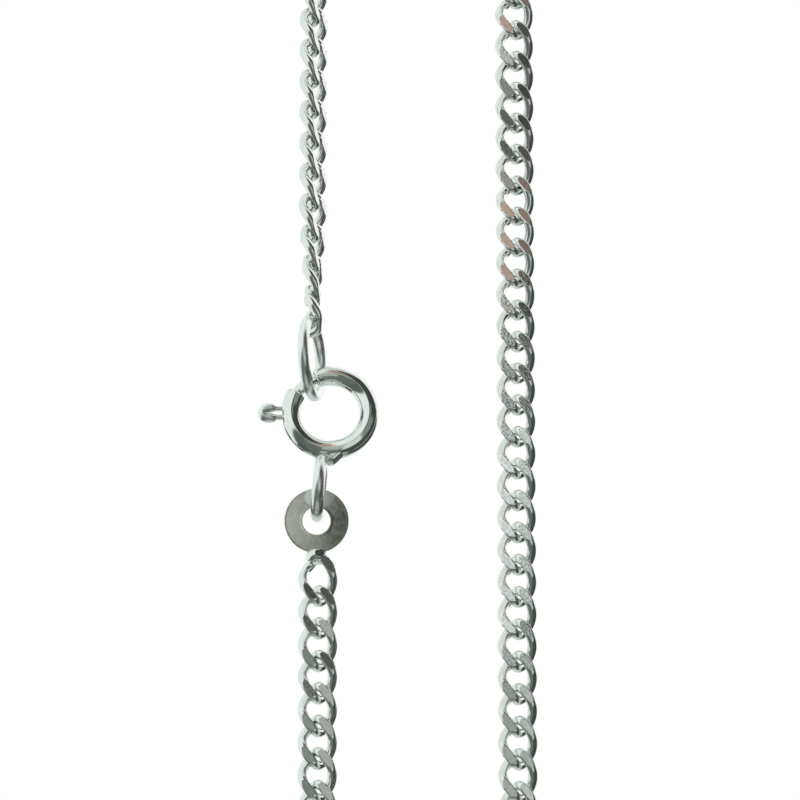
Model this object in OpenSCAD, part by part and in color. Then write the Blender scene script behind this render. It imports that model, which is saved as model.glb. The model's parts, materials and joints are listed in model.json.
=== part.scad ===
// Curb chain necklace of silver wire with a spring ring clasp, hanging as one long closed loop.
// The origin is where the top bend rests on what holds it. Z is up and the front faces -Y.

/* [Chain] */
// Distance from one link to the next
link_pitch = 2.4; // [2.3:0.02:2.6]
// Number of links between the jump ring and the end tag
link_count = 158; // [140:2:158]
// Width of the chain across its side wires
chain_w = 2.74; // [2.7:0.02:3.2]
// Diameter of the link wire
wire_d = 0.6; // [0.5:0.02:0.62]
// Thickness of the chain across its cut flats
chain_t = 1.2; // [1:0.02:1.5]
// Play between two linked wires along the chain
link_play = 0.3; // [0.26:0.02:0.4]
// Twist of each end of a link out of its flat oval
end_turn = 55; // [50:1:60]

/* [Strands] */
// Right strand, from the middle plane
right_x = 7.3; // [6.8:0.02:12]
// Left strand above the clasp, from the middle plane
upper_x = -7.3; // [-12:0.02:-6.8]
// Left strand below the clasp, from the middle plane
lower_x = -6.96; // [-12:0.01:-6.6]
// Depth of the clasp's centre below the hanging point
clasp_drop = 89.98; // [85:0.02:100]
// Length of the strands beside the clasp that hangs without twisting
flat_run = 62; // [50:1:80]
// Turn of the strand above the clasp, out of its flat position
upper_turn = 70; // [66:1:88]
// Extra turn of the lowest link above the clasp, toward the jump ring
hook_turn = 28; // [26:1:30]

/* [Spring ring] */
// Outer diameter of the ring
ring_d = 7; // [6.6:0.1:8]
// Diameter of the ring's tube
tube_d = 1.4; // [1.34:0.02:1.6]
// Wall of the tube
tube_wall = 0.2; // [0.1:0.02:0.2]
// Angle of the gate's end beside the jump ring
gate_from = 112; // [108:1:114]
// Angle of the gate's end beside the trigger
gate_to = 148; // [146:1:152]
// Angle at which the jump ring hangs on the bolt
hang_angle = 133; // [130:1:136]

/* [Bolt] */
// Diameter of the bolt
bolt_d = 0.8; // [0.6:0.02:0.84]
// How far the bolt's tip reaches into the closed end, in degrees
bolt_reach = 8; // [4:1:12]
// How far the bolt's tail runs past the trigger, in degrees
bolt_tail = 10; // [9:1:16]
// How far the bolt slides back, in degrees
bolt_travel = 46; // [30:1:48]
// Angle of the trigger when the clasp is shut
trigger_angle = 180; // [176:1:186]
// Reach of the trigger beyond the tube
trigger_reach = 1.76; // [1.6:0.02:2.2]
// Width of the trigger's looped end
knob_w = 1.36; // [1.2:0.02:1.5]
// Wire at the trigger's looped end
knob_wire = 0.54; // [0.46:0.02:0.58]
// Wire of the trigger's two legs
leg_wire = 0.4; // [0.3:0.02:0.44]
// Slit between the trigger's two legs
leg_slit = 0.12; // [0.1:0.02:0.2]

/* [Jump ring] */
// Outer diameter of the jump ring
jump_d = 6.2; // [5.6:0.1:6.6]
// Wire of the jump ring
jump_wire = 0.76; // [0.6:0.02:0.76]
// Turn of the jump ring out of its edge-on position
jump_turn = 20; // [19:1:24]

/* [Eye] */
// Outer diameter of the soldered eye
eye_d = 4.9; // [4.4:0.1:5.4]
// Wire of the eye
eye_wire = 0.9; // [0.7:0.02:0.94]
// Width of the solder collar under the tube
collar_w = 2.6; // [2:0.1:3]
// Height of the solder collar
collar_h = 0.9; // [0.6:0.05:1.2]

/* [End tag] */
// Diameter of the tag
tag_d = 4.6; // [4.4:0.1:5.4]
// Diameter of the tag's hole
tag_hole = 2; // [1.6:0.05:2.4]
// Thickness of the tag
tag_t = 0.4; // [0.3:0.05:0.5]
// Forward lean of the tag's top
tag_lean = 10; // [0:1:14]
// Diameter of the solder bead between the tag and its link
bead_d = 0.9; // [0.8:0.05:1.1]

/* [Fits] */
// Clear gap between pieces that hang in each other
hang_gap = 0.1; // [0.1:0.02:0.16]
// Clear gap beside the trigger in its slot
slot_gap = 0.1; // [0.08:0.02:0.14]

/* [Hidden] */

// a link: an oval twisted about its long axis, with five-sided wire
half_long = (link_pitch + wire_d + link_play) / 2;
half_wide = (chain_w - wire_d) / 2;
wire_sides = 5;
// places round the oval, in degrees from its upper tip
shoulder = 32;
flank = 68;
stations = [0, shoulder, flank, 180 - flank, 180 - shoulder,
    180, 180 + shoulder, 180 + flank, 360 - flank, 360 - shoulder];
// the five corners stand out a little, so that the wire keeps about the area of a round one
corner_share = 1.08;

// the clasp
ring_r = (ring_d - tube_d) / 2;
hold_r = ring_r - bolt_d / 2 - hang_gap - jump_wire / 2;
ring_x = upper_x - hold_r * cos(hang_angle);
ring_z = -clasp_drop;
bore_r = tube_d / 2 - tube_wall;

// the jump ring hangs from link 0 and holds the bolt in its lowest part
jump_r = (jump_d - jump_wire) / 2;
jump_z = ring_z + hold_r * sin(hang_angle) + jump_r;
first_z = jump_z + jump_r - jump_wire / 2 - hang_gap - wire_d / 2 * corner_share + half_long;

// the eye is soldered under the ring, over the lower strand
eye_r = (eye_d - eye_wire) / 2;
eye_sink = tube_wall * 0.8;
eye_z = ring_z - sqrt(pow(ring_d / 2, 2) - pow(lower_x - ring_x, 2)) + eye_sink - eye_d / 2;

// the tag hangs on the eye, and its first link is soldered under it
tag_hole_z = eye_z - eye_r + eye_wire / 2 + hang_gap;
tag_centre = [lower_x, (tag_hole / 2 - tag_t / 2) * sin(tag_lean), tag_hole_z - tag_hole / 2 * cos(tag_lean)];
tag_foot_z = tag_centre.z - tag_d / 2 * cos(tag_lean);
solder_gap = 0.3;
last_z = tag_foot_z - solder_gap - half_long - wire_d / 2;

// the loop: up from the jump ring, over the top bend, down, round the low bend and up to the tag
top_r = (right_x - upper_x) / 2;
low_r = (right_x - lower_x) / 2;
top_z = chain_t / 2 - top_r;
top_arc = PI * top_r;
low_arc = PI * low_r;
loop_run = link_count * link_pitch;
up_run = top_z - first_z;
low_z = (up_run + top_arc + top_z + low_arc + last_z - loop_run) / 2;
down_run = top_z - low_z;
// lengths along the loop at which each stretch starts
at_top = up_run;
at_down = at_top + top_arc;
at_low = at_down + down_run;
at_end = at_low + low_arc;

// place on the loop and heading from straight up, for a length along it
function place(s) =
    s < at_top ? [upper_x, 0, first_z + s]
    : s < at_down ? let (turn = (s - at_top) / top_r * 180 / PI)
        [upper_x + top_r * (1 - cos(turn)), 0, top_z + top_r * sin(turn)]
    : s < at_low ? [right_x, 0, top_z - (s - at_down)]
    : s < at_end ? let (turn = (s - at_low) / low_r * 180 / PI)
        [right_x - low_r * (1 - cos(turn)), 0, low_z - low_r * sin(turn)]
    : [lower_x, 0, low_z + (s - at_end)];
function heading(s) =
    s < at_top ? 0
    : s < at_down ? (s - at_top) / top_r * 180 / PI
    : s < at_low ? 180
    : s < at_end ? 180 + (s - at_low) / low_r * 180 / PI
    : 360;

// the flats face the front beside the clasp and face inward at the two bends
function eased(u) = let (v = min(1, max(0, u))) v * v * (3 - 2 * v);
function away(z) = z > ring_z
    ? (z - ring_z - flat_run / 2) / (top_z - ring_z - flat_run / 2)
    : (ring_z - flat_run / 2 - z) / (ring_z - flat_run / 2 - low_z);
function hooked(s) = pow(max(0, 1 - s / (3 * link_pitch)), 1.5);
function roll(s) = let (from = s < at_top ? upper_turn : 0)
    from + (90 - from) * eased(away(place(s).z)) + hook_turn * hooked(s);

// middle line of the wire, a unit vector, and one five-sided section at a place round the oval
function wire_middle(t) = let (wide = half_wide / sin(flank), twist = end_turn * cos(t))
    [wide * sin(t) * cos(twist), -wide * sin(t) * sin(twist), half_long * cos(t)];
function unit(v) = v / norm(v);
function section(t) = let (
        middle = wire_middle(t),
        along = unit(wire_middle(t + 0.1) - wire_middle(t - 0.1)),
        back = unit([0, 1, 0] - along.y * along),
        side = cross(along, back),
        out = side * [half_long * sin(t), 0, half_wide * cos(t)] < 0 ? -side : side,
        // one face of the five looks to the side of the chain that the flat is cut on
        first = middle.y < -wire_d / 10 ? 54 : middle.y > wire_d / 10 ? 18 : 36)
    [for (k = [0 : wire_sides - 1]) let (
            angle = first + 360 / wire_sides * k,
            corner = middle + wire_d / 2 * corner_share * (cos(angle) * out - sin(angle) * back))
        [corner.x, max(-chain_t / 2, min(chain_t / 2, corner.y)), corner.z]];

module link() {
    polyhedron(
        points = [for (t = stations) each section(t)],
        faces = [for (i = [0 : len(stations) - 1], k = [0 : wire_sides - 1]) let (
                here = i * wire_sides,
                next = (i + 1) % len(stations) * wire_sides,
                l = (k + 1) % wire_sides)
            each [[here + k, next + k, next + l], [here + k, next + l, here + l]]]);
}

module links(from, to) {
    for (i = [from : to]) let (s = i * link_pitch)
        translate(place(s)) rotate([0, heading(s), 0]) rotate([0, 0, roll(s)]) link();
}

module chain_ring_side() {
    color("silver") links(0, link_count / 2 - 1);
}

module chain_tag_side() {
    color("silver") links(link_count / 2, link_count - 1);
}

module jump_ring() {
    color("silver") translate([upper_x, 0, jump_z]) rotate([0, 0, -jump_turn]) rotate([0, 90, 0])
        rotate_extrude($fn = 96) translate([jump_r, 0]) circle(d = jump_wire, $fn = 32);
}

// an arc of round wire or bore on the clasp's middle circle, drawn in the ring's plane
module clasp_arc(from, to, d) {
    rotate([0, 0, from]) rotate_extrude(angle = to - from, $fn = 96)
        translate([ring_r, 0]) circle(d = d, $fn = 32);
}

// slot in the outer wall that the trigger's legs slide in
module trigger_slot() {
    leg_half = asin((leg_slit / 2 + leg_wire + slot_gap) / (ring_d / 2));
    from = trigger_angle - leg_half;
    to = trigger_angle + bolt_travel + leg_half;
    slot_w = leg_wire + 2 * slot_gap;
    rotate([0, 0, from]) rotate_extrude(angle = to - from, $fn = 96)
        translate([ring_r + bore_r / 2, -slot_w / 2]) square([tube_d, slot_w]);
}

module clasp_ring() {
    color("gainsboro") difference() {
        union() {
            translate([ring_x, 0, ring_z]) rotate([90, 0, 0]) clasp_arc(gate_to, gate_from + 360, tube_d);
            translate([lower_x, 0, eye_z]) rotate([0, 90, 0])
                rotate_extrude($fn = 96) translate([eye_r, 0]) circle(d = eye_wire, $fn = 32);
            translate([lower_x, 0, eye_z + eye_d / 2 - eye_sink]) rotate([90, 0, 0])
                linear_extrude(eye_wire, center = true) polygon([
                    [-collar_w / 4, tube_d / 3], [-eye_wire / 2, -collar_h],
                    [eye_wire / 2, -collar_h], [collar_w * 3 / 4, tube_d / 8]]);
        }
        translate([ring_x, 0, ring_z]) rotate([90, 0, 0]) {
            rotate_extrude($fn = 96) translate([ring_r, 0]) circle(r = bore_r, $fn = 32);
            trigger_slot();
        }
    }
}

module clasp_bolt() {
    leg_y = (leg_slit + leg_wire) / 2;
    knob_r = (knob_w - knob_wire) / 2;
    knob_x = ring_d / 2 + trigger_reach - knob_w / 2;
    color("gainsboro") translate([ring_x, 0, ring_z]) rotate([90, 0, 0]) {
        clasp_arc(gate_from - bolt_reach, trigger_angle + bolt_tail, bolt_d);
        rotate([0, 0, trigger_angle]) {
            for (side = [-1, 1]) translate([ring_r, side * leg_y, 0])
                rotate([0, 90, 0]) cylinder(d = leg_wire, h = knob_x - ring_r - knob_r / 2, $fn = 32);
            translate([knob_x, 0, 0])
                rotate_extrude($fn = 64) translate([knob_r, 0]) circle(d = knob_wire, $fn = 32);
        }
    }
}

module end_tag() {
    color("darkgray") {
        translate(tag_centre) rotate([90 + tag_lean, 0, 0]) difference() {
            cylinder(d = tag_d, h = tag_t, center = true, $fn = 96);
            cylinder(d = tag_hole, h = 2 * tag_t, center = true, $fn = 64);
        }
        translate([lower_x, 0, last_z]) rotate([0, 0, roll(loop_run)]) link();
        translate([lower_x, tag_centre.y, tag_foot_z - solder_gap / 2]) sphere(d = bead_d, $fn = 48);
    }
}

chain_ring_side();
chain_tag_side();
jump_ring();
clasp_ring();
clasp_bolt();
end_tag();
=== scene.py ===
import json
import math

import bmesh
import bpy
import numpy as np
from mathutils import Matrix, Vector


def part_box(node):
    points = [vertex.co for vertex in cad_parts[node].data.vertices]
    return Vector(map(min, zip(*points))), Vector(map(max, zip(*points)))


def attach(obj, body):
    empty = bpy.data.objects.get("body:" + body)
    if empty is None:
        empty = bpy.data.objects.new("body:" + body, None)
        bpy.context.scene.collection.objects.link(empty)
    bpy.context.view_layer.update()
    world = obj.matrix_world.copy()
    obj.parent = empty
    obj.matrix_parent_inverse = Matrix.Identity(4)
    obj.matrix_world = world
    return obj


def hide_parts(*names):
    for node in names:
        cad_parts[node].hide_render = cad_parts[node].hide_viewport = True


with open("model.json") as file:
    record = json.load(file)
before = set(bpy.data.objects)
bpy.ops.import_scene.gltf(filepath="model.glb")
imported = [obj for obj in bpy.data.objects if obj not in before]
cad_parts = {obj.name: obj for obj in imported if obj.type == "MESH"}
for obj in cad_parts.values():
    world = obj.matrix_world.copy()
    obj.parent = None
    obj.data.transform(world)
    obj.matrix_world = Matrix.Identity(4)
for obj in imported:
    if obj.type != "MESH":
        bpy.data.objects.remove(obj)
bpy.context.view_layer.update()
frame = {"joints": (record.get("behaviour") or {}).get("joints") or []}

# The curb chain. Each link is an oval of drawn silver wire, twisted out of its plane and soldered
# shut through the link before it. The finished chain is cut flat on its front and back with a
# diamond tool, which leaves two slanting flats on each face of a link.

# sizes are written in millimetres and turns in degrees, here and in the sections after this one
mm = 0.001
link_pitch = 2.4
link_count = 158
chain_width = 2.814
chain_thickness = 1.2
link_wire = 0.7
link_end_turn = 55
link_lean = 1
link_looseness = 0.45
link_sides = 20
link_stations = 48
flat_slant = 1.4
flat_edge = 0.07
edge_drop = 0.03
# how far the middle of a flat stands out from the middle of its link
flat_out = 0.665

# where the strands hang: the lower left one drifts to the right as it rises from the lower bend
right_strand_x = 7.3
upper_strand_x = -7.3
lower_strand_x = -6.96
lower_drift = 0.13
drift_run = 20
# the stretch that keeps its flats to the front, the turn of the upper left strand, and the further
# turn of the links beside the jump ring
flat_run = 62
upper_turn = 65
hook_turn = 33
hook_links = 3
hook_ease = 1.5

# the solid model's wire and play, which set how long a link is
model_wire = 0.6
link_play = 0.3
half_long = (link_pitch + model_wire + link_play) / 2
half_wide = (chain_width - link_wire) / 2
# the middle of the clasp, which its joint turns about
clasp_x, clasp_z = (frame["joints"][0]["pos_m"][i] / mm for i in (0, 2))


def turned(axis, degrees):
    """The matrix that turns a point about an axis."""
    c, s = math.cos(math.radians(degrees)), math.sin(math.radians(degrees))
    if axis == "x":
        return np.array([[1, 0, 0], [0, c, -s], [0, s, c]])
    if axis == "y":
        return np.array([[c, 0, s], [0, 1, 0], [-s, 0, c]])
    return np.array([[c, -s, 0], [s, c, 0], [0, 0, 1]])


def link_middle(t):
    """A point on the middle line of the link's wire, an oval twisted about its long axis."""
    wide = half_wide * math.sin(t)
    twist = math.radians(link_end_turn) * math.cos(t)
    return np.array([wide * math.cos(twist), -wide * math.sin(twist), half_long * math.cos(t)])


def link_section(t):
    """The ring of corners round the link's wire, t radians round the oval from its upper tip."""
    step = 0.001
    along = link_middle(t + step) - link_middle(t - step)
    along /= np.linalg.norm(along)
    back = np.array([0, 1, 0]) - along[1] * along
    back /= np.linalg.norm(back)
    side = np.cross(along, back)
    middle = link_middle(t)
    angles = [math.tau * k / link_sides for k in range(link_sides)]
    return [middle + link_wire / 2 * (math.cos(a) * side + math.sin(a) * back) for a in angles]


def link_mesh():
    """One link in millimetres: corners, triangles, and 0 for drawn wire, 1 for edge, 2 for flat."""
    bm = bmesh.new()
    rings = [[bm.verts.new(turned("x", link_lean) @ p)
              for p in link_section(math.tau * i / link_stations)] for i in range(link_stations)]
    for i, ring in enumerate(rings):
        ahead = rings[(i + 1) % link_stations]
        for k in range(link_sides):
            beside = (k + 1) % link_sides
            bm.faces.new((ring[k], ring[beside], ahead[beside], ahead[k]))
    bmesh.ops.recalc_face_normals(bm, faces=bm.faces)

    # the two flats of a face fall away from each other a little, so they never shine together
    slant = math.radians(flat_slant)
    for facing, hand in ((-1, -1), (-1, 1), (1, -1), (1, 1)):
        cut = bmesh.ops.bisect_plane(
            bm, geom=bm.verts[:] + bm.edges[:] + bm.faces[:], dist=1e-5, clear_outer=True,
            plane_co=(hand * flat_out, facing * chain_thickness / 2, 0),
            plane_no=(hand * math.sin(slant), facing * math.cos(slant), 0))
        rim = [e for e in cut["geom_cut"] if isinstance(e, bmesh.types.BMEdge)]
        bmesh.ops.edgeloop_fill(bm, edges=rim)
    bm.normal_update()

    # a flat is told from the wire by how squarely it faces front or back and how near the surface
    # it lies
    least_facing, most_depth = 0.9995, 0.03
    flats = [f for f in bm.faces
             if abs(f.normal.y) > least_facing
             and abs(f.calc_center_median().y) > chain_thickness / 2 - most_depth]
    # the rim of a flat is rubbed down to a narrow bright edge
    rims = bmesh.ops.inset_region(bm, faces=flats, thickness=flat_edge, use_boundary=True,
                                  use_even_offset=True)["faces"]
    inner = {v for f in flats for v in f.verts}
    for v in {v for f in rims for v in f.verts} - inner:
        v.co.y -= math.copysign(edge_drop, v.co.y)
    bmesh.ops.recalc_face_normals(bm, faces=bm.faces)
    for face in rims:
        face.material_index = 1
    for face in flats:
        face.material_index = 2
    bmesh.ops.triangulate(bm, faces=bm.faces)
    bm.verts.index_update()
    corners = np.array([v.co[:] for v in bm.verts])
    faces = np.array([[v.index for v in f.verts] for f in bm.faces])
    kinds = np.array([f.material_index for f in bm.faces])
    bm.free()
    return corners, faces, kinds


# the loop that the links lie on: up from the jump ring, over the top, down, and up to the end tag.
# The solid model's ring wire, its gap and the corners of its link wire set where the loop starts
# and ends
jump_low, jump_high = (np.array(c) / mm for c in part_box("jump_ring"))
tag_low, tag_high = (np.array(c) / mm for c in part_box("end_tag"))
jump_wire = 0.76
hang_gap = 0.1
corner_share = 1.08
first_z = jump_high[2] - jump_wire - hang_gap - model_wire / 2 * corner_share + half_long
last_z = tag_low[2] + half_long + model_wire / 2 * corner_share
top_radius = (right_strand_x - upper_strand_x) / 2
low_radius = (right_strand_x - lower_strand_x) / 2
top_z = chain_thickness / 2 - top_radius
top_arc = math.pi * top_radius
low_arc = math.pi * low_radius
up_run = top_z - first_z
loop_run = link_count * link_pitch
low_z = (up_run + top_arc + top_z + low_arc + last_z - loop_run) / 2
at_down = up_run + top_arc
at_low = at_down + top_z - low_z


def loop_place(s):
    """Place in the loop's plane, and heading from straight up, for a length along the loop."""
    if s < up_run:
        return upper_strand_x, first_z + s, 0
    if s < at_down:
        turn = (s - up_run) / top_radius
        return (upper_strand_x + top_radius * (1 - math.cos(turn)),
                top_z + top_radius * math.sin(turn), math.degrees(turn))
    if s < at_low:
        return right_strand_x, top_z - (s - at_down), 180
    if s < at_low + low_arc:
        turn = (s - at_low) / low_radius
        return (right_strand_x - low_radius * (1 - math.cos(turn)),
                low_z - low_radius * math.sin(turn), 180 + math.degrees(turn))
    risen = s - at_low - low_arc
    return lower_strand_x + lower_drift * min(1, risen / drift_run), low_z + risen, 360


def link_roll(s):
    """Turn of a link about the strand: flats to the front beside the clasp, inward at the bends."""
    z = loop_place(s)[1]
    if z > clasp_z:
        away = (z - clasp_z - flat_run / 2) / (top_z - clasp_z - flat_run / 2)
    else:
        away = (clasp_z - flat_run / 2 - z) / (clasp_z - flat_run / 2 - low_z)
    away = min(1, max(0, away))
    eased = away * away * (3 - 2 * away)
    start = upper_turn if s < up_run else 0
    hooked = max(0, 1 - s / (hook_links * link_pitch)) ** hook_ease
    return start + (90 - start) * eased + hook_turn * hooked


# the hanging strands turn and lean by a few degrees, which shows as slow changes of tone on the
# flats: heights in millimetres from the clasp's middle, then turns and leans in degrees
right_sway = (
    [-40, -18.5, -16.5, -11.5, -5, -2.7, -0.2, 3, 8, 10.4, 12.5, 16.5, 19, 28.1, 29.5, 34],
    [0.4, 0.4, -2, -5, -5.5, -4.5, -0.8, 0.2, 1.2, 0.8, 1, 1, 1.4, 1.3, 0.9, 0.9],
    [2, 2, 0, 0, 0, 0, 0, 0, -1, -5, -8, -8, -1, -0.6, -8, -8])
lower_sway = (
    [-40, -22.2, -19.8, -17.4, -15, -12.6],
    [-1.2, -1.2, 4.5, -1.2, 4.5, 4.5],
    [4, 4, -1, 4, -1, -1])


def sway(s):
    """The small turn and lean of a link in a hanging strand."""
    _, z, heading = loop_place(s)
    if heading not in (180, 360):
        return 0, 0
    heights, turns, leans = right_sway if heading == 180 else lower_sway
    return np.interp(z - clasp_z, heights, turns), np.interp(z - clasp_z, heights, leans)


def placed_link(corners, s, loose=(0, 0, 0)):
    """The corners of the link that lies at a length along the loop."""
    x, z, heading = loop_place(s)
    turn, lean = sway(s)
    side = -1 if heading == 180 else 1
    tipped = corners @ turned("z", link_roll(s) + side * turn + loose[0]).T
    tipped = tipped @ turned("x", side * lean + loose[1]).T
    return tipped @ turned("y", heading + loose[2]).T + [x, 0, z]


def shader(material, kind, **sockets):
    """A node of a material. Its sockets take plain values, or the output that feeds them."""
    node = material.node_tree.nodes.new(kind)
    for name, value in sockets.items():
        socket = node.inputs[name.replace("_", " ")]
        if isinstance(value, bpy.types.NodeSocket):
            material.node_tree.links.new(value, socket)
        else:
            socket.default_value = value
    return node


def silver(name, dull, bright, roughness, grain, grain_depth, swell_depth=0.0, ripple_depth=0.0,
           clouds=1100):
    """Silver whose tone, roughness and relief vary with its grain, in grains to the metre."""
    material = bpy.data.materials.new(name)
    material.use_nodes = True
    links = material.node_tree.links
    metal = material.node_tree.nodes["Principled BSDF"]
    metal.inputs["Metallic"].default_value = 1
    where = shader(material, "ShaderNodeTexCoord").outputs["Object"]
    cloud = shader(material, "ShaderNodeTexNoise", Vector=where, Scale=clouds, Detail=2)
    fine = shader(material, "ShaderNodeTexNoise", Vector=where, Scale=grain, Detail=1.5)
    swell = shader(material, "ShaderNodeTexNoise", Vector=where, Scale=2200, Detail=1)
    # a noise keeps mostly to its middle values, so those are spread over all the tones
    tone = shader(material, "ShaderNodeMapRange", Value=cloud.outputs["Fac"],
                  From_Min=0.3, From_Max=0.7)
    shades = shader(material, "ShaderNodeMixRGB", Fac=tone.outputs["Result"],
                    Color1=(*dull, 1), Color2=(*bright, 1))
    links.new(shades.outputs["Color"], metal.inputs["Base Color"])
    rough = shader(material, "ShaderNodeMapRange", Value=fine.outputs["Fac"],
                   From_Min=0.25, From_Max=0.75, To_Min=roughness[0], To_Max=roughness[1])
    links.new(rough.outputs["Result"], metal.inputs["Roughness"])
    reliefs = [(fine.outputs["Fac"], grain_depth), (swell.outputs["Fac"], swell_depth)]
    if ripple_depth:
        ripple = shader(material, "ShaderNodeTexWave", Vector=where, Scale=1900, Distortion=9,
                        Detail=1, Detail_Scale=1.6)
        ripple.bands_direction = "DIAGONAL"
        reliefs.append((ripple.outputs["Fac"], ripple_depth))
    normal = None
    for height, depth in reliefs:
        if depth:
            bump = shader(material, "ShaderNodeBump", Height=height, Strength=1.0, Distance=depth)
            if normal:
                links.new(normal, bump.inputs["Normal"])
            normal = bump.outputs["Normal"]
    links.new(normal, metal.inputs["Normal"])
    return material


def metal_piece(name, parts, materials):
    """One mesh object from parts in millimetres: corners, faces, material number, smooth or flat."""
    corners, faces, slots, smooth, start = [], [], [], [], 0
    for points, polygons, slot, rounded in parts:
        corners.append(np.asarray(points, float) * mm)
        faces += [[start + i for i in p] for p in polygons]
        slots += list(np.broadcast_to(slot, len(polygons)))
        smooth += list(np.broadcast_to(rounded, len(polygons)))
        start += len(points)
    mesh = bpy.data.meshes.new(name)
    mesh.from_pydata(np.concatenate(corners), [], faces)
    for material in materials:
        mesh.materials.append(material)
    mesh.polygons.foreach_set("material_index", np.array(slots, np.int32))
    mesh.polygons.foreach_set("use_smooth", np.array(smooth, bool))
    bm = bmesh.new()
    bm.from_mesh(mesh)
    bmesh.ops.recalc_face_normals(bm, faces=bm.faces)
    bm.to_mesh(mesh)
    bm.free()
    piece = bpy.data.objects.new(name, mesh)
    bpy.context.collection.objects.link(piece)
    return piece


drawn_silver = silver("drawn_silver", (0.88, 0.895, 0.87), (0.96, 0.97, 0.955), (0.1, 0.2),
                      26000, 0.0000008, 0.0000012)
edge_silver = silver("burnished_edge_silver", (0.96, 0.97, 0.96), (0.99, 0.99, 0.99), (0.2, 0.3),
                     26000, 0.0000008)
cut_silver = silver("diamond_cut_silver", (0.82, 0.83, 0.8), (0.96, 0.96, 0.94), (0.08, 0.15),
                    9000, 0.0000012, 0.0, 0.0000003, clouds=6000)
# in the stretch beside the clasp the flats are rubbed to a coarse grain, which is finer lower down:
# the heights are in millimetres from the clasp's middle
rubbed_silver = silver("rubbed_flat_silver", (0.4, 0.41, 0.39), (1, 1, 0.99), (0.1, 0.18),
                       6500, 0.000008, 0.0, 0.0000014, clouds=8500)
worn_silver = silver("worn_flat_silver", (0.56, 0.57, 0.54), (1, 1, 0.99), (0.08, 0.16),
                     8500, 0.000005, 0.0, 0.0000012, clouds=8500)
worn_from, rubbed_from, rubbed_to = -20, 0.3, 9.5

link_corners, link_faces, link_kinds = link_mesh()
chance = np.random.default_rng(11)
for node, first, after in (("chain_ring_side", 0, link_count // 2),
                           ("chain_tag_side", link_count // 2, link_count)):
    links = []
    for i in range(first, after):
        loose = chance.normal(0, link_looseness, 3)
        _, z, heading = loop_place(i * link_pitch)
        # a rubbed flat takes the chain's fourth silver and a worn flat its fifth
        wear = 0
        if heading == 180 and worn_from < z - clasp_z < rubbed_to:
            wear = 1 if z - clasp_z > rubbed_from else 2
        links.append((placed_link(link_corners, i * link_pitch, loose), link_faces,
                      link_kinds + wear * (link_kinds == 2), link_kinds < 2))
    chain = metal_piece(node + "_links", links,
                        [drawn_silver, edge_silver, cut_silver, rubbed_silver, worn_silver])
    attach(chain, "necklace")
    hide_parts(node)


# The jump ring. A plain ring of round silver wire, put through the chain's first link, bent shut
# and soldered. It hangs in that link, and the clasp's bolt closes round it and holds it.
jump_turn = 13
jump_thickness = 0.82
jump_stations, jump_sides = 160, 32
jump_centre = (jump_low + jump_high) / 2
jump_radius = (jump_high[2] - jump_low[2] - jump_thickness) / 2


def round_wire(points, radii, square, sides, closed=False):
    """Round wire along points in the plane that is square to a direction, its open ends domed."""
    points, radii = [np.asarray(p, float) for p in points], list(radii)
    dome_angles = (0.5, 1, 1.35)
    if not closed:
        for tip, inner in ((0, 1), (-1, -2)):
            along = points[tip] - points[inner]
            along /= np.linalg.norm(along)
            dome = [(points[tip] + along * radii[tip] * math.sin(a), radii[tip] * math.cos(a))
                    for a in dome_angles]
            more, less = [p for p, r in dome], [r for p, r in dome]
            points = more[::-1] + points if tip == 0 else points + more
            radii = less[::-1] + radii if tip == 0 else radii + less
    count = len(points)
    corners, faces = [], []
    for i in range(count):
        ahead = points[(i + 1) % count] if closed else points[min(i + 1, count - 1)]
        behind = points[i - 1] if closed or i else points[0]
        out = np.cross(ahead - behind, square)
        out /= np.linalg.norm(out)
        corners += [points[i] + radii[i] * (math.cos(b) * out + math.sin(b) * np.asarray(square))
                    for b in np.arange(sides) * math.tau / sides]
    for i in range(count if closed else count - 1):
        j = (i + 1) % count
        for k in range(sides):
            beside = (k + 1) % sides
            faces.append((i * sides + k, i * sides + beside, j * sides + beside, j * sides + k))
    if not closed:
        faces.append(tuple(range(sides)))
        faces.append(tuple((count - 1) * sides + k for k in range(sides)))
    return np.array(corners), faces


def wire_ring(centre, radius, wire, turn, stations, sides):
    """A closed ring of wire that stands upright, edge-on to the front and turned with turn."""
    angles = np.arange(stations) * math.tau / stations
    points = [centre + turn @ [0, radius * math.cos(a), radius * math.sin(a)] for a in angles]
    return round_wire(points, [wire / 2] * stations, turn @ [1, 0, 0], sides, closed=True)


soft_silver = silver("tumbled_silver", (0.94, 0.96, 0.94), (0.99, 1, 0.99), (0.26, 0.31),
                     14000, 0.0000006)
jump_wire_ring = wire_ring(jump_centre, jump_radius, jump_thickness, turned("z", -jump_turn),
                           jump_stations, jump_sides)
jump_ring = metal_piece("jump_ring_wire", [(*jump_wire_ring, 0, True)], [soft_silver])
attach(jump_ring, "necklace")
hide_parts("jump_ring")


# The spring ring clasp. A thin silver tube bent into a ring with a gate, slit along its outside
# for the trigger. A ring of heavier wire hangs in a collar of solder under it and holds the tag.
ring_diameter = 7
tube_diameter = 1.4
bore_diameter = 1.0
rim_round = 0.16
gate_from, gate_to = 112, 148
trigger_angle = 180
bolt_travel = 46
slot_half_angle = 10.8
slot_half_width = 0.3
ring_radius = (ring_diameter - tube_diameter) / 2
ring_centre = np.array([clasp_x, 0, clasp_z])
# an edge sharper than this stays crisp
crisp_angle = 50


def ring_point(angle, out, front):
    """A point of the clasp, by its angle round the ring, its reach from the tube's middle and its
    depth."""
    a, reach = math.radians(angle), ring_radius + out
    return ring_centre + [reach * math.cos(a), -front, reach * math.sin(a)]


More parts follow.
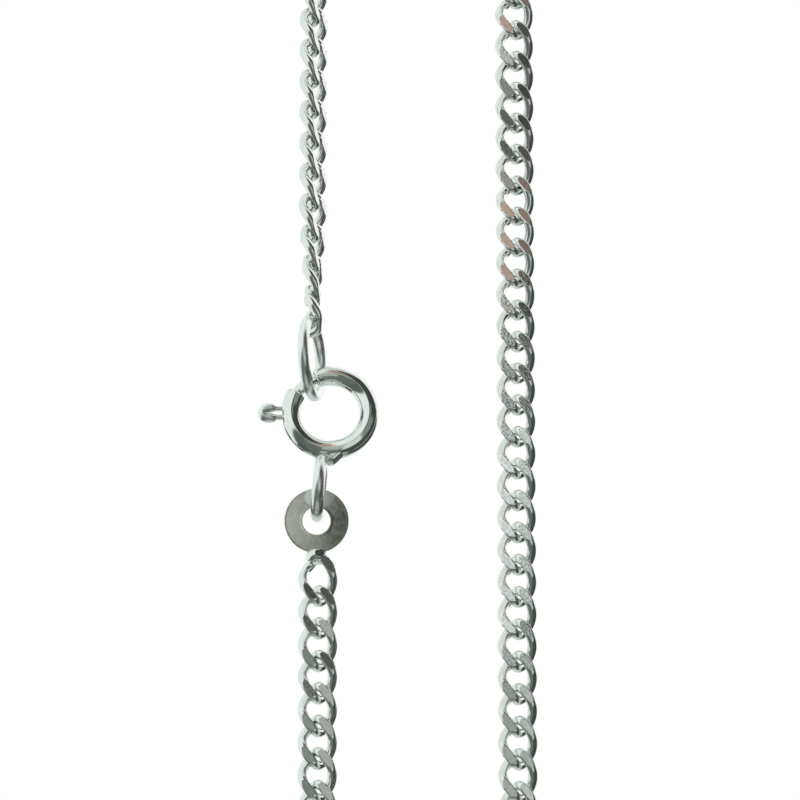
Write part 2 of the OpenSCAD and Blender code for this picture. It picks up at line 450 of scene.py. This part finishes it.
def slit_tube():
    """The tube's outer and inner walls, rounded at the gate and open along the trigger's slit."""
    # steps round the tube, across the slit and round the rest of its wall
    slit_steps, wall_steps = 6, 38
    # steps along the tube, from the gate to the slit, beside the slit, and on round to the gate
    plain_stations, slit_stations, back_stations = 7, 25, 95
    hair = 1e-6
    per_mm = math.degrees(1 / ring_radius)
    # the rims are rounded over these distances from the gate
    rounding = [0, 0.02, 0.06, 0.11, rim_round]
    slot = (trigger_angle - slot_half_angle, trigger_angle + bolt_travel + slot_half_angle)
    ends = (gate_to, gate_from + 360)
    angles = [ends[0] + s * per_mm for s in rounding]
    for end, stations in ((slot[0], plain_stations), (slot[1], slit_stations),
                          (ends[1] - rim_round * per_mm, back_stations)):
        angles += list(np.linspace(angles[-1], end, stations + 1)[1:])
    angles += [ends[1] - s * per_mm for s in rounding[::-1][1:]]
    corners, faces, rounds = [], [], slit_steps + wall_steps
    for angle in angles:
        s = min(angle - ends[0], ends[1] - angle) / per_mm
        lost = rim_round - math.sqrt(max(0, rim_round ** 2 - max(0, rim_round - s) ** 2))
        for radius in (tube_diameter / 2 - lost, bore_diameter / 2):
            lip = math.degrees(math.asin(slot_half_width / radius))
            wraps = list(np.linspace(-lip, lip, slit_steps + 1))
            wraps += list(np.linspace(lip, 360 - lip, wall_steps + 1)[1:-1])
            corners += [ring_point(angle, radius * math.cos(math.radians(w)),
                                   radius * math.sin(math.radians(w))) for w in wraps]

    def corner(i, wall, k):
        return (i * 2 + wall) * rounds + k % rounds

    last = len(angles) - 1
    for i in range(last):
        slit = slot[0] - hair <= angles[i] < slot[1] - hair
        for k in range(rounds):
            if slit and k < slit_steps:
                continue
            for wall in (0, 1):
                faces.append((corner(i, wall, k), corner(i, wall, k + 1),
                              corner(i + 1, wall, k + 1), corner(i + 1, wall, k)))
        if slit:
            for k in (0, slit_steps):
                faces.append((corner(i, 0, k), corner(i, 1, k),
                              corner(i + 1, 1, k), corner(i + 1, 0, k)))
    slot_ends = [min(range(len(angles)), key=lambda i: abs(angles[i] - end)) for end in slot]
    for i, steps in ((0, rounds), (last, rounds),
                     (slot_ends[0], slit_steps), (slot_ends[1], slit_steps)):
        for k in range(steps):
            faces.append((corner(i, 0, k), corner(i, 0, k + 1),
                          corner(i, 1, k + 1), corner(i, 1, k)))
    return corners, faces


def solder_collar():
    """A fillet under the tube that swells to a tip beside the eye."""
    collar_from, collar_run, stations, sides = 247, 51, 33, 28
    # the tip and the smaller hump to its left: height, angle round the ring and spread
    humps = ((0.56, 271, 10), (0.12, 255, 9))
    fillet_out, fillet_high, fillet_deep = 0.62, 0.36, 0.58
    corners, faces = [], []
    for i in range(stations):
        angle = collar_from + collar_run * i / (stations - 1)
        swell = sum(rise * math.exp(-((angle - at) / spread) ** 2) for rise, at, spread in humps)
        high, deep = fillet_high + 0.5 * swell, fillet_deep - 0.1 * swell
        for k in range(sides):
            b = math.tau * k / sides
            corners.append(ring_point(angle, fillet_out + swell - high + high * math.cos(b),
                                      deep * math.sin(b)))
    for i in range(stations - 1):
        j = i + 1
        for k in range(sides):
            beside = (k + 1) % sides
            faces.append((i * sides + k, i * sides + beside, j * sides + beside, j * sides + k))
    faces += [tuple(range(sides)), tuple((stations - 1) * sides + k for k in range(sides))]
    return corners, faces


eye_diameter = 4.9
eye_wire = 0.9
eye_bury = 0.16
eye_tilt = 5
eye_x = -6.76
eye_stations, eye_sides = 140, 36
eye_z = (clasp_z - math.sqrt((ring_diameter / 2) ** 2 - (lower_strand_x - clasp_x) ** 2)
         + eye_bury - eye_diameter / 2)
eye = wire_ring(np.array([eye_x, 0, eye_z]), (eye_diameter - eye_wire) / 2, eye_wire,
                turned("y", eye_tilt), eye_stations, eye_sides)
clasp_silver = silver("clasp_silver", (0.88, 0.9, 0.88), (0.95, 0.965, 0.95), (0.035, 0.08),
                      22000, 0.0000006, 0.000002)
clasp_ring = metal_piece("clasp_ring_tube", [
    (*slit_tube(), 0, True), (*solder_collar(), 0, True), (*eye, 1, True)],
    [clasp_silver, soft_silver])
clasp_ring.modifiers.new("crisp", "EDGE_SPLIT").split_angle = math.radians(crisp_angle)
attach(clasp_ring, "necklace")
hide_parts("clasp_ring")


# The bolt. A curved silver wire that slides round inside the clasp's tube against a small coil
# spring, and closes the gate. Its trigger is a wire folded into a hairpin that stands in the slit.
bolt_diameter = 0.8
bolt_reach, bolt_tail = 8, 10
bolt_stations, bolt_sides = 60, 28
bolt_points = [ring_point(angle, 0, 0) for angle in np.linspace(
    gate_from - bolt_reach, trigger_angle + bolt_tail, bolt_stations)]

# the trigger's leg runs out from the bolt, swells into the knob and turns back as the other leg:
# each place is its reach from the middle of the ring, its height, and the radius of the wire
leg_wire = 0.4
leg_offset = 0.33
leg_from, leg_to = 2.75, 3.2
swell_from, swell_run, swell_steps = 3.8, 0.42, 11
knob_wire = 0.68
knob_middle = 4.47
knob_radius = 0.38
knob_angles = range(84, -1, -7)
trigger_sides = 24
trigger = [(leg_from, leg_offset, leg_wire / 2), (leg_to, leg_offset, leg_wire / 2)]
for step in range(swell_steps + 1):
    swell = 0.5 - 0.5 * math.cos(math.pi * step / swell_steps)
    trigger.append((swell_from + swell_run * step / swell_steps,
                    leg_offset + (knob_radius - leg_offset) * swell,
                    leg_wire / 2 + (knob_wire - leg_wire) / 2 * swell))
for angle in knob_angles:
    trigger.append((knob_middle + knob_radius * math.cos(math.radians(angle)),
                    knob_radius * math.sin(math.radians(angle)), knob_wire / 2))
trigger += [(r, -up, radius) for r, up, radius in trigger[-2::-1]]
trigger_points = [ring_centre + [-r, 0, up] for r, up, radius in trigger]
trigger_radii = [radius for r, up, radius in trigger]
bolt_front = (0, -1, 0)
bolt = metal_piece("clasp_bolt_wire", [
    (*round_wire(bolt_points, [bolt_diameter / 2] * bolt_stations, bolt_front, bolt_sides), 0, True),
    (*round_wire(trigger_points, trigger_radii, bolt_front, trigger_sides), 1, True)],
    [clasp_silver, soft_silver])
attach(bolt, "bolt")
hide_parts("clasp_bolt")


# The end tag. A flat round plate stamped from sheet silver, drilled for the clasp's eye and
# brushed, with the chain's last link soldered to its lower edge.
tag_diameter = 4.6
tag_hole = 2
tag_thickness = 0.4
tag_lean = 10
tag_edge = 0.07
tag_dish = 0.045
tag_lean_sin, tag_lean_cos = math.sin(math.radians(tag_lean)), math.cos(math.radians(tag_lean))
tag_centre = np.array([
    lower_strand_x, (tag_hole - tag_thickness) / 2 * tag_lean_sin,
    tag_high[2] - tag_diameter / 2 * tag_lean_cos - tag_thickness / 2 * tag_lean_sin])
tag_foot = tag_centre[2] - tag_diameter / 2 * tag_lean_cos


def tag_plate():
    """The drilled plate, turned from a section with rounded edges and very slightly dished."""
    count, face_steps, edge_angles = 120, 6, (0, 22.5, 45, 67.5, 90)
    half, section = tag_thickness / 2, []
    face = np.linspace(tag_hole / 2 + tag_edge, tag_diameter / 2 - tag_edge, face_steps + 1)[1:-1]
    for out, up, start in ((tag_hole / 2, half, 90), (tag_hole / 2, -half, 180),
                           (tag_diameter / 2, -half, 270), (tag_diameter / 2, half, 0)):
        inward = 1 if out == tag_hole / 2 else -1
        middle = (out + tag_edge * inward, up - math.copysign(tag_edge, up))
        section += [(middle[0] + tag_edge * math.cos(math.radians(start + a)),
                     middle[1] + tag_edge * math.sin(math.radians(start + a)))
                    for a in edge_angles]
        if start == 180:
            section += [(x, -half) for x in face]
        if start == 0:
            section += [(x, half) for x in face[::-1]]
    section = [(x, y + tag_dish * (2 * x / tag_diameter) ** 2) for x, y in section]
    turn, size = turned("x", 90 + tag_lean), len(section)
    corners = [tag_centre + turn @ [out * math.cos(a), out * math.sin(a), up]
               for a in np.arange(count) * math.tau / count for out, up in section]
    faces = [(i * size + k, i * size + (k + 1) % size, (i + 1) % count * size + (k + 1) % size,
              (i + 1) % count * size + k) for i in range(count) for k in range(size)]
    return corners, faces


def solder_bead():
    """The lump of solder between plate and link, filed flat in front."""
    middle = np.array([lower_strand_x + 0.04, 0, tag_foot - 0.46])
    half_size = np.array([0.78, 0.72, 0.6])
    filed_at, filed_facing = (lower_strand_x + 0.45, -0.44, tag_foot), (0.3, -0.92, 0.22)
    bm = bmesh.new()
    bmesh.ops.create_uvsphere(bm, u_segments=40, v_segments=24, radius=1)
    for v in bm.verts:
        v.co = middle + half_size * np.array(v.co)
    cut = bmesh.ops.bisect_plane(
        bm, geom=bm.verts[:] + bm.edges[:] + bm.faces[:], clear_outer=True,
        plane_co=filed_at, plane_no=filed_facing)
    rim = [e for e in cut["geom_cut"] if isinstance(e, bmesh.types.BMEdge)]
    bmesh.ops.edgeloop_fill(bm, edges=rim)
    bm.verts.index_update()
    corners = [v.co[:] for v in bm.verts]
    faces = [[v.index for v in f.verts] for f in bm.faces]
    bm.free()
    return corners, faces, [2 * (len(f) > 4) for f in faces], [len(f) <= 4 for f in faces]


# the plate's brushed silver, whose tone below also takes a painted reflection and a painted pale
# patch
tag_silver = silver("brushed_silver_and_painted_reflection", (0.22, 0.25, 0.22), (0.92, 0.9, 0.84), (0.08, 0.2),
                    6000, 0.000004, 0.000005, clouds=2600)
tag_metal, tag_links = tag_silver.node_tree.nodes["Principled BSDF"], tag_silver.node_tree.links
tag_where = shader(tag_silver, "ShaderNodeTexCoord").outputs["Object"]

# the plate's tone carries a painted reflection: it is painted lighter on its left and darker on its
# right, and the clouds of the silver only break that painted slope up
painted_bright_x, painted_dark_x = -9.2, -4.7
painted_lightening, painted_darkening = 0.52, -0.54
tag_shades = tag_metal.inputs["Base Color"].links[0].from_node
tag_clouds = tag_shades.inputs["Fac"].links[0].from_node
tag_clouds.inputs["To Min"].default_value = 0.38
tag_clouds.inputs["To Max"].default_value = 0.62
painted_reflection_across = shader(tag_silver, "ShaderNodeSeparateXYZ", Vector=tag_where)
painted_reflection_slope = shader(tag_silver, "ShaderNodeMapRange", Value=painted_reflection_across.outputs["X"],
               From_Min=painted_bright_x * mm, From_Max=painted_dark_x * mm, To_Min=painted_lightening, To_Max=painted_darkening)
clouds_and_painted_reflection = shader(tag_silver, "ShaderNodeMath")
clouds_and_painted_reflection.use_clamp = True
tag_links.new(tag_clouds.outputs["Result"], clouds_and_painted_reflection.inputs[0])
tag_links.new(painted_reflection_slope.outputs["Result"], clouds_and_painted_reflection.inputs[1])
tag_links.new(clouds_and_painted_reflection.outputs[0], tag_shades.inputs["Fac"])

# a pale matt patch above the plate's hole, fading to the right, is a painted reflection of the
# clasp's eye
reflection_patch_half_wide, reflection_patch_half_high = 1.15, 0.78
reflection_patch_x, reflection_patch_z = lower_strand_x + 0.2, tag_centre[2] + 1.6
reflection_patch_rim = 0.15
reflection_patch_least = 0.3
reflection_patch_place = shader(tag_silver, "ShaderNodeMapping", Vector=tag_where,
                   Scale=(reflection_patch_half_wide * mm, 1, reflection_patch_half_high * mm),
                   Location=(reflection_patch_x * mm, 0, reflection_patch_z * mm))
reflection_patch_place.vector_type = "TEXTURE"
reflection_patch_spread = shader(tag_silver, "ShaderNodeTexGradient", Vector=reflection_patch_place.outputs["Vector"])
reflection_patch_spread.gradient_type = "SPHERICAL"
painted_reflection_patch = shader(tag_silver, "ShaderNodeMapRange", Value=reflection_patch_spread.outputs["Fac"],
                   From_Max=reflection_patch_rim)
reflection_patch_across = shader(tag_silver, "ShaderNodeSeparateXYZ", Vector=reflection_patch_place.outputs["Vector"])
reflection_patch_fade = shader(tag_silver, "ShaderNodeMapRange", Value=reflection_patch_across.outputs["X"],
                  From_Min=-1, From_Max=1, To_Min=1, To_Max=reflection_patch_least)
painted_reflection_mask = shader(tag_silver, "ShaderNodeMath")
painted_reflection_mask.operation = "MULTIPLY"
tag_links.new(painted_reflection_patch.outputs["Result"], painted_reflection_mask.inputs[0])
tag_links.new(reflection_patch_fade.outputs["Result"], painted_reflection_mask.inputs[1])
reflection_patch_metallic = shader(tag_silver, "ShaderNodeMapRange", Value=painted_reflection_mask.outputs[0], To_Min=1, To_Max=0)
tag_links.new(reflection_patch_metallic.outputs["Result"], tag_metal.inputs["Metallic"])
# inside the painted reflection the plate turns matt, pale and rough
for socket, painted_patch_value in (("Base Color", (0.9, 0.92, 0.88, 1)), ("Roughness", (0.6, 0.6, 0.6, 1))):
    mixed = shader(tag_silver, "ShaderNodeMixRGB", Fac=painted_reflection_mask.outputs[0], Color2=painted_patch_value,
                   Color1=tag_metal.inputs[socket].links[0].from_socket)
    tag_links.new(mixed.outputs["Color"], tag_metal.inputs[socket])

tag = metal_piece("end_tag_plate", [
    (*tag_plate(), 3, True),
    (placed_link(link_corners, loop_run), link_faces, link_kinds, link_kinds < 2),
    solder_bead()], [drawn_silver, edge_silver, cut_silver, tag_silver])
tag.modifiers.new("crisp", "EDGE_SPLIT").split_angle = math.radians(crisp_angle)
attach(tag, "necklace")
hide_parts("end_tag")


# The studio. A pale floor well below the necklace, a painted surround of pale screens and dark
# gaps that the silver mirrors, and the camera in front of the clasp and below it, looking up.
floor_z = -1.0
floor_half = 6
floor_mesh = bpy.data.meshes.new("floor")
floor_mesh.from_pydata([(x * floor_half, y * floor_half, floor_z)
                        for x, y in ((-1, -1), (1, -1), (1, 1), (-1, 1))], [], [(0, 1, 2, 3)])
floor = bpy.data.objects.new("floor", floor_mesh)
bpy.context.collection.objects.link(floor)
# the silver mirrors the surround below it, and not the floor
floor.visible_glossy = False
floor_paint = bpy.data.materials.new("floor_paint")
floor_paint.use_nodes = True
floor_coat = floor_paint.node_tree.nodes["Principled BSDF"]
floor_coat.inputs["Roughness"].default_value = 0.8
speckle = shader(floor_paint, "ShaderNodeTexNoise", Scale=40, Detail=3)
floor_tone = shader(floor_paint, "ShaderNodeMixRGB", Fac=speckle.outputs["Fac"],
                    Color1=(0.83, 0.84, 0.84, 1), Color2=(0.87, 0.88, 0.88, 1))
floor_paint.node_tree.links.new(floor_tone.outputs["Color"], floor_coat.inputs["Base Color"])
floor_mesh.materials.append(floor_paint)

world = bpy.data.worlds.new("studio")
bpy.context.scene.world = world
world.use_nodes = True
nodes, wires = world.node_tree.nodes, world.node_tree.links
nodes.clear()


def worked(operation, *values):
    """One sum on plain numbers and on what other nodes give."""
    node = nodes.new("ShaderNodeMath")
    node.operation = operation
    for socket, value in zip(node.inputs, values):
        if isinstance(value, (int, float)):
            socket.default_value = value
        else:
            wires.new(value, socket)
    return node.outputs[0]


def above(value, level, soft):
    """0 below the level, 1 above it, with a soft step."""
    node = nodes.new("ShaderNodeMapRange")
    node.interpolation_type = "SMOOTHSTEP"
    for name, limit in (("From Min", level - soft / 2), ("From Max", level + soft / 2)):
        node.inputs[name].default_value = limit
    wires.new(value, node.inputs["Value"])
    return node.outputs[0]


def below(value, level, soft):
    """1 below the level, 0 above it, with a soft step."""
    return above(worked("MULTIPLY", value, -1), -level, soft)


def within(value, low, high, soft):
    return worked("SUBTRACT", above(value, low, soft), above(value, high, soft))


def screen(colour, *masks):
    """Paint a zone of the surround, where all its masks overlap."""
    global surround
    mask = masks[0]
    for other in masks[1:]:
        mask = worked("MULTIPLY", mask, other)
    node = nodes.new("ShaderNodeMixRGB")
    wires.new(mask, node.inputs["Fac"])
    wires.new(surround, node.inputs["Color1"])
    node.inputs["Color2"].default_value = (*colour, 1)
    surround = node.outputs[0]


direction = nodes.new("ShaderNodeTexCoord").outputs["Generated"]
split = nodes.new("ShaderNodeSeparateXYZ")
wires.new(direction, split.inputs[0])
per_radian = 180 / math.pi
# side is the bearing from straight in front, positive to the right, and high is the elevation
side = worked("MULTIPLY", worked("ARCTAN2", split.outputs[0],
                                 worked("MULTIPLY", split.outputs[1], -1)), per_radian)
high = worked("MULTIPLY", worked("ARCSINE", split.outputs[2]), per_radian)
# what faces the front mirrors the place 19 degrees up: spoke and reach are measured from there
look_up = 19
rise = worked("SUBTRACT", high, look_up)
spoke = worked("MULTIPLY", worked("ARCTAN2", rise, side), per_radian)
reach = worked("SQRT", worked("ADD", worked("MULTIPLY", side, side),
                              worked("MULTIPLY", rise, rise)))

# every zone's limits and the softness of its edges are in degrees
pale = (0.78, 0.85, 0.815)
plain = nodes.new("ShaderNodeRGB")
plain.outputs[0].default_value = (*pale, 1)
surround = plain.outputs[0]
# the dark side on the right, up to its slanting upper edge, and the white screen behind it
dark = (0.05, 0.056, 0.048)
past_side = worked("SUBTRACT", side, 90)
gentle = worked("ADD", high, worked("MULTIPLY", past_side, 0.35))
steep = worked("ADD", high, worked("MULTIPLY", past_side, 1.2))
for upper_edge in (gentle, steep):
    screen(dark, above(side, 0, 3), below(upper_edge, 22, 10), below(high, 58, 8))
screen((0.97, 0.98, 0.97), above(side, 62, 20), above(gentle, 16, 8), above(steep, 16, 8))
# a grey screen overhead, and a narrow copper-brown strip in front that some flats mirror
screen((0.6, 0.68, 0.645), above(high, 60, 10), within(side, -10, 70, 20))
screen((0.44, 0.31, 0.25), within(side, -3, 6, 4), within(high, 27, 58, 6))
# grey, pale and dark wedges below the front, each by its spokes and its reach
for colour, spokes, reaches in (
        ((0.3, 0.33, 0.31), (-12, 8, 6), (13, 21, 5)),
        ((0.2, 0.23, 0.21), (-44, -10, 10), (8, 58, 14)),
        ((0.62, 0.69, 0.63), (-74, -42, 6), (-5, 62, 40)),
        ((0.06, 0.07, 0.06), (-98, -30, 8), (56, 120, 10)),
        ((0.4, 0.42, 0.39), (-102, -74, 6), (-5, 50, 16)),
        ((0.34, 0.38, 0.35), (-126, -102, 6), (-5, 66, 12)),
        ((0.13, 0.145, 0.13), (-128, -102, 6), (12, 125, 6)),
        ((0.15, 0.165, 0.15), (-104, -74, 6), (36, 125, 8)),
        ((0.1, 0.12, 0.11), (-152, -126, 8), (-5, 120, 12))):
    screen(colour, within(spoke, *spokes), within(reach, *reaches))
# the lower left: a dark band whose upper edge rises towards the back, and grey below it
far_left = worked("MAXIMUM", worked("SUBTRACT", -100, side), 0)
bank = worked("ADD", high, worked("MULTIPLY", far_left, -0.4))
screen((0.07, 0.08, 0.07), below(side, -78, 16), below(bank, -33, 6))
screen((0.25, 0.29, 0.26), below(side, -110, 20), below(bank, -52, 8))
# the grey ground underneath, and the pale table behind
screen((0.4, 0.44, 0.41), below(high, -62, 12), within(side, -110, 150, 20))
screen((0.6, 0.66, 0.63), above(worked("ABSOLUTE", side), 145, 20), within(high, -80, -2, 12))
# the picture shows plain white behind the necklace
screen((1, 1, 1), nodes.new("ShaderNodeLightPath").outputs["Is Camera Ray"])
light = nodes.new("ShaderNodeBackground")
wires.new(surround, light.inputs["Color"])
studio_out = nodes.new("ShaderNodeOutputWorld")
wires.new(light.outputs[0], studio_out.inputs["Surface"])

camera_data = bpy.data.cameras.new("camera")
camera = bpy.data.objects.new("camera", camera_data)
bpy.context.collection.objects.link(camera)
bpy.context.scene.camera = camera
tilt = math.radians(look_up)
camera_distance = 554
pixels_per_mm = 13.97
picture_width = 800
# the place on the necklace's plane that the middle of the picture shows
aim = np.array([-1.007, 0, clasp_z + 0.98])
camera.location = (aim - camera_distance * np.array([0, math.cos(tilt), math.sin(tilt)])) * mm
camera.rotation_euler = (math.radians(90) + tilt, 0, 0)
camera_data.sensor_width = 36
camera_data.lens = camera_data.sensor_width * camera_distance / (picture_width / pixels_per_mm)
camera_data.clip_start = 0.01
camera_data.clip_end = 50
bpy.context.scene.view_settings.view_transform = "Standard"
